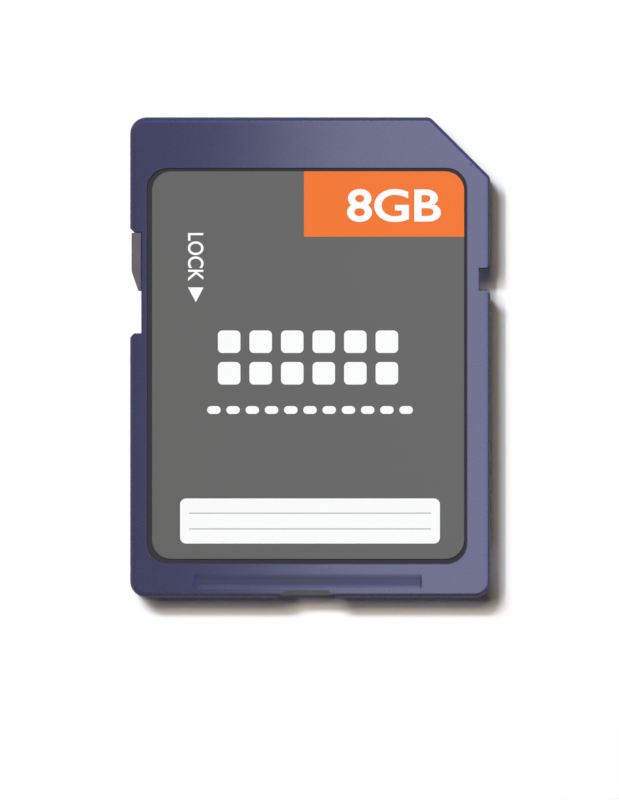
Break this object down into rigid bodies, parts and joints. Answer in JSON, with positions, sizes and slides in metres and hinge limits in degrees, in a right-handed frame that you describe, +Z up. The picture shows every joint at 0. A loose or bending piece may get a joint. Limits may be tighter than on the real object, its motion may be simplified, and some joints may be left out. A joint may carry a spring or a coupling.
{
  "type": "sd memory card",
  "caption": "Flat moulded memory card with a cut corner, recessed label, contact windows underneath and a small write lock sliding in a slot on its side.",
  "frame": {"origin": "middle of the card's underside, the contact side", "axes": "+X right and +Y to the contact end as seen from the label side, +Z up through the label"},
  "size_m": [0.024, 0.032, 0.0021],
  "materials": {
    "shell_plastic": "fine moulded texture",
    "label_film": "satin film",
    "slider_plastic": "moulded",
    "board_mask": "solder mask",
    "contact_gold": "gold plate",
    "chip_resin": "moulded resin",
    "capacitor_ceramic": "fired",
    "resistor_ceramic": "glazed top"
  },
  "bodies": {
    "card": {"rear_shell": "shell_plastic", "front_shell": "shell_plastic", "front_label": "label_film", "circuit_board": "board_mask", "contact_pad_1": "contact_gold", "contact_pad_2": "contact_gold", "contact_pad_3": "contact_gold", "contact_pad_4": "contact_gold", "contact_pad_5": "contact_gold", "contact_pad_6": "contact_gold", "contact_pad_7": "contact_gold", "contact_pad_8": "contact_gold", "contact_pad_9": "contact_gold", "flash_chip": "chip_resin", "controller_chip": "chip_resin", "capacitor_1": "capacitor_ceramic", "capacitor_2": "capacitor_ceramic", "capacitor_3": "capacitor_ceramic", "capacitor_4": "capacitor_ceramic", "resistor_1": "resistor_ceramic", "resistor_2": "resistor_ceramic", "resistor_3": "resistor_ceramic", "resistor_4": "resistor_ceramic"},
    "lock": {"lock_slider": "slider_plastic"}
  },
  "joints": [
    {"name": "lock_slide", "type": "slide", "parent": "card", "child": "lock", "axis": [0, -1, 0], "range_m": [0, 0.00281]}
  ]
}
